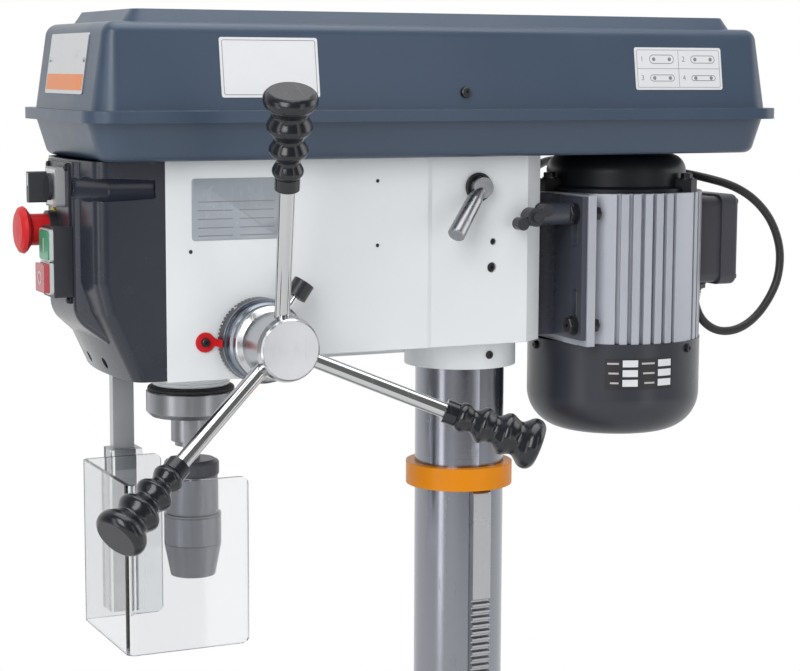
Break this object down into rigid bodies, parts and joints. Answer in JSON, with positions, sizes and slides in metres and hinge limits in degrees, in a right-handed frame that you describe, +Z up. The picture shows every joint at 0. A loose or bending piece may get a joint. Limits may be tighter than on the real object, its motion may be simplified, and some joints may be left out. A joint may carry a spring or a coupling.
{
  "type": "pillar drill",
  "caption": "Floor-standing pillar drill: belt-driven head on a round column, three-arm quill feed, keyless chuck with clear guard, rack-lifted tilting table.",
  "frame": {"origin": "on the floor under the column axis", "axes": "+Z up the column, -Y toward the operator, +X the side with the feed handles"},
  "size_m": [0.3917, 0.749, 1.634],
  "materials": {
    "cast_iron": "painted",
    "column_steel": "polished",
    "bright_steel": "machined",
    "zinc_steel": "zinc plated",
    "orange_paint": "gloss",
    "white_paint": "painted white",
    "cover_paint": "semi-gloss",
    "fascia_plastic": "satin",
    "black_plastic": "gloss",
    "grey_plastic": "satin",
    "red_plastic": "gloss",
    "green_plastic": "gloss",
    "chuck_steel": "satin",
    "chrome": "polished",
    "aluminium": "cast",
    "black_paint": "satin",
    "clear_plastic": "clear",
    "belt_rubber": "matte",
    "copper": "lacquered"
  },
  "bodies": {
    "frame": {"base": "cast_iron", "column_foot": "cast_iron", "column": "column_steel", "rack_ring": "orange_paint", "head_casting": "white_paint", "front_fascia": "fascia_plastic", "rotary_switch_base": "grey_plastic", "push_switch_body": "black_plastic", "belt_tray": "cover_paint", "hinge_leaves": "zinc_steel", "spring_cap": "black_paint", "return_spring": "bright_steel", "guard_bracket": "zinc_steel", "cable_glands": "black_plastic", "motor_cable": "black_plastic", "drive_bearings": "bright_steel", "drive_belts": "belt_rubber"},
    "lid": {"belt_lid": "cover_paint"},
    "quill_set": {"quill": "bright_steel", "quill_collar": "bright_steel", "quill_bearings": "bright_steel"},
    "spindle_set": {"spindle": "bright_steel", "chuck_body": "chuck_steel"},
    "sleeve": {"chuck_sleeve": "chuck_steel"},
    "jaw_1": {"chuck_jaw_1": "bright_steel"},
    "jaw_2": {"chuck_jaw_2": "bright_steel"},
    "jaw_3": {"chuck_jaw_3": "bright_steel"},
    "drive_pulley": {"spindle_pulley": "aluminium"},
    "idler_carrier": {"idler_arm": "bright_steel"},
    "idler": {"idler_pulley": "aluminium"},
    "motor_carriage": {"motor_bracket": "black_paint", "motor_body": "aluminium", "motor_stator": "copper", "motor_top_bell": "black_paint", "motor_cowl": "black_paint", "terminal_box": "black_plastic"},
    "rotor": {"motor_rotor": "bright_steel", "motor_pulley": "aluminium"},
    "tensioner": {"tension_lever": "chrome"},
    "slide_lock": {"slide_lock_knob": "black_plastic"},
    "rotary": {"rotary_knob": "black_plastic"},
    "estop": {"estop_stem": "black_plastic"},
    "estop_cap": {"estop_head": "red_plastic"},
    "start": {"start_button": "green_plastic"},
    "stop": {"stop_button": "red_plastic"},
    "feed": {"feed_shaft": "bright_steel", "feed_hub": "chrome", "feed_arms": "chrome", "feed_grips": "black_plastic"},
    "dial": {"depth_dial": "aluminium"},
    "dial_lock": {"dial_lock_knob": "black_plastic"},
    "guard_arm": {"guard_bar": "zinc_steel"},
    "guard": {"guard_shield": "clear_plastic"},
    "rack": {"table_rack": "zinc_steel"},
    "table_carrier": {"table_bracket": "cast_iron", "tilt_bolt": "zinc_steel"},
    "lift_gear": {"table_gear": "bright_steel"},
    "lift_crank": {"crank": "bright_steel"},
    "table_top": {"table": "cast_iron"},
    "table_lock": {"table_lock_lever": "bright_steel"}
  },
  "joints": [
    {"name": "lid_hinge", "type": "hinge", "parent": "frame", "child": "lid", "pos_m": [-0.113, 0, 1.547], "axis": [0, -1, 0], "range_deg": [0, 100]},
    {"name": "quill_feed", "type": "slide", "parent": "frame", "child": "quill_set", "axis": [0, 0, -1], "range_m": [0, 0.08], "stiffness_N_per_m": 200, "springref_m": -0.35},
    {"name": "feed_turn", "type": "hinge", "parent": "frame", "child": "feed", "pos_m": [0, -0.2225, 1.3675], "axis": [1, 0, 0], "range_deg": [-0.5, 437.04]},
    {"name": "dial_turn", "type": "hinge", "parent": "feed", "child": "dial", "pos_m": [0, -0.2225, 1.3675], "axis": [1, 0, 0], "range_deg": [-180, 180]},
    {"name": "dial_lock_turn", "type": "hinge", "parent": "dial", "child": "dial_lock", "pos_m": [0.0935, -0.2225, 1.3675], "axis": [0, 0.5736, 0.8192], "range_deg": [-90, 90]},
    {"name": "spindle_spin", "type": "hinge", "parent": "quill_set", "child": "spindle_set", "pos_m": [0, -0.255, 1.35], "axis": [0, 0, 1], "continuous": true},
    {"name": "sleeve_turn", "type": "hinge", "parent": "spindle_set", "child": "sleeve", "pos_m": [0, -0.255, 1.18], "axis": [0, 0, 1], "range_deg": [0, 720]},
    {"name": "jaw_1_slide", "type": "slide", "parent": "spindle_set", "child": "jaw_1", "axis": [0, -0.2756, -0.9613], "range_m": [0, 0.016]},
    {"name": "jaw_2_slide", "type": "slide", "parent": "spindle_set", "child": "jaw_2", "axis": [0.2387, 0.1378, -0.9613], "range_m": [0, 0.016]},
    {"name": "jaw_3_slide", "type": "slide", "parent": "spindle_set", "child": "jaw_3", "axis": [-0.2387, 0.1378, -0.9613], "range_m": [0, 0.016]},
    {"name": "pulley_spin", "type": "hinge", "parent": "frame", "child": "drive_pulley", "pos_m": [0, -0.255, 1.55], "axis": [0, 0, 1], "continuous": true},
    {"name": "idler_swing", "type": "hinge", "parent": "frame", "child": "idler_carrier", "pos_m": [0.032, -0.086, 1.52], "axis": [0, 0, 1], "range_deg": [-9, 9], "deforming": ["drive_belts"]},
    {"name": "idler_spin", "type": "hinge", "parent": "idler_carrier", "child": "idler", "pos_m": [0, -0.045, 1.55], "axis": [0, 0, 1], "continuous": true},
    {"name": "motor_slide", "type": "slide", "parent": "frame", "child": "motor_carriage", "axis": [0, 1, 0], "range_m": [-0.01, 0.012], "deforming": ["motor_cable"]},
    {"name": "rotor_spin", "type": "hinge", "parent": "motor_carriage", "child": "rotor", "pos_m": [0, 0.16, 1.35], "axis": [0, 0, 1], "continuous": true},
    {"name": "tension_turn", "type": "hinge", "parent": "frame", "child": "tensioner", "pos_m": [0.054, -0.0195, 1.488], "axis": [1, 0, 0], "range_deg": [-32.33, 38.7]},
    {"name": "slide_lock_turn", "type": "hinge", "parent": "frame", "child": "slide_lock", "pos_m": [0.085, 0.0265, 1.462], "axis": [1, 0, 0], "range_deg": [-90, 45]},
    {"name": "rotary_turn", "type": "hinge", "parent": "frame", "child": "rotary", "pos_m": [0.005, -0.39, 1.492], "axis": [0, -1, 0], "range_deg": [0, 90]},
    {"name": "estop_press", "type": "slide", "parent": "frame", "child": "estop", "axis": [0, 1, 0], "range_m": [0, 0.004], "stiffness_N_per_m": 800, "springref_m": -0.005},
    {"name": "estop_twist", "type": "hinge", "parent": "estop", "child": "estop_cap", "pos_m": [-0.014, -0.39, 1.456], "axis": [0, -1, 0], "range_deg": [-45, 0]},
    {"name": "start_press", "type": "slide", "parent": "frame", "child": "start", "axis": [0, 1, 0], "range_m": [0, 0.003], "stiffness_N_per_m": 600, "springref_m": -0.003},
    {"name": "stop_press", "type": "slide", "parent": "frame", "child": "stop", "axis": [0, 1, 0], "range_m": [0, 0.003], "stiffness_N_per_m": 600, "springref_m": -0.003},
    {"name": "guard_swing", "type": "hinge", "parent": "frame", "child": "guard_arm", "pos_m": [-0.08, -0.2915, 1.35], "axis": [0, 0, -1], "range_deg": [0, 120]},
    {"name": "guard_height", "type": "slide", "parent": "guard_arm", "child": "guard", "axis": [0, 0, 1], "range_m": [-0.04, 0.05]},
    {"name": "rack_swing", "type": "hinge", "parent": "frame", "child": "rack", "pos_m": [0, 0, 0.8], "axis": [0, 0, 1], "range_deg": [-180, 180]},
    {"name": "table_height", "type": "slide", "parent": "rack", "child": "table_carrier", "axis": [0, 0, 1], "range_m": [-0.45, 0.19]},
    {"name": "lift_gear_turn", "type": "hinge", "parent": "table_carrier", "child": "lift_gear", "pos_m": [0.06205, 0, 0.777], "axis": [0, -1, 0], "range_deg": [-1612.44, 681.39]},
    {"name": "crank_turn", "type": "hinge", "parent": "table_carrier", "child": "lift_crank", "pos_m": [0.12, 0, 0.7524], "axis": [-1, 0, 0], "range_deg": [-25793.1, 10896.2]},
    {"name": "table_tilt", "type": "hinge", "parent": "table_carrier", "child": "table_top", "pos_m": [0, -0.112, 0.777], "axis": [0, 1, 0], "range_deg": [-45, 45]},
    {"name": "table_lock_turn", "type": "hinge", "parent": "table_carrier", "child": "table_lock", "pos_m": [0.03, 0.075, 0.777], "axis": [1, 0, 0], "range_deg": [-60, 60]}
  ],
  "couplings": [
    {"joint": "feed_turn", "follows": "quill_feed", "rad_per_m": 95.238},
    {"joint": "idler_spin", "follows": "rotor_spin", "ratio": 0.63636},
    {"joint": "pulley_spin", "follows": "rotor_spin", "ratio": 0.49091},
    {"joint": "spindle_spin", "follows": "rotor_spin", "ratio": 0.49091},
    {"joint": "tension_turn", "follows": "motor_slide", "rad_per_m": 55.556},
    {"joint": "lift_gear_turn", "follows": "table_height", "rad_per_m": 62.5},
    {"joint": "crank_turn", "follows": "table_height", "rad_per_m": 1000},
    {"joint": "jaw_1_slide", "follows": "sleeve_turn", "m_per_rad": 0.0012732},
    {"joint": "jaw_2_slide", "follows": "sleeve_turn", "m_per_rad": 0.0012732},
    {"joint": "jaw_3_slide", "follows": "sleeve_turn", "m_per_rad": 0.0012732}
  ]
}
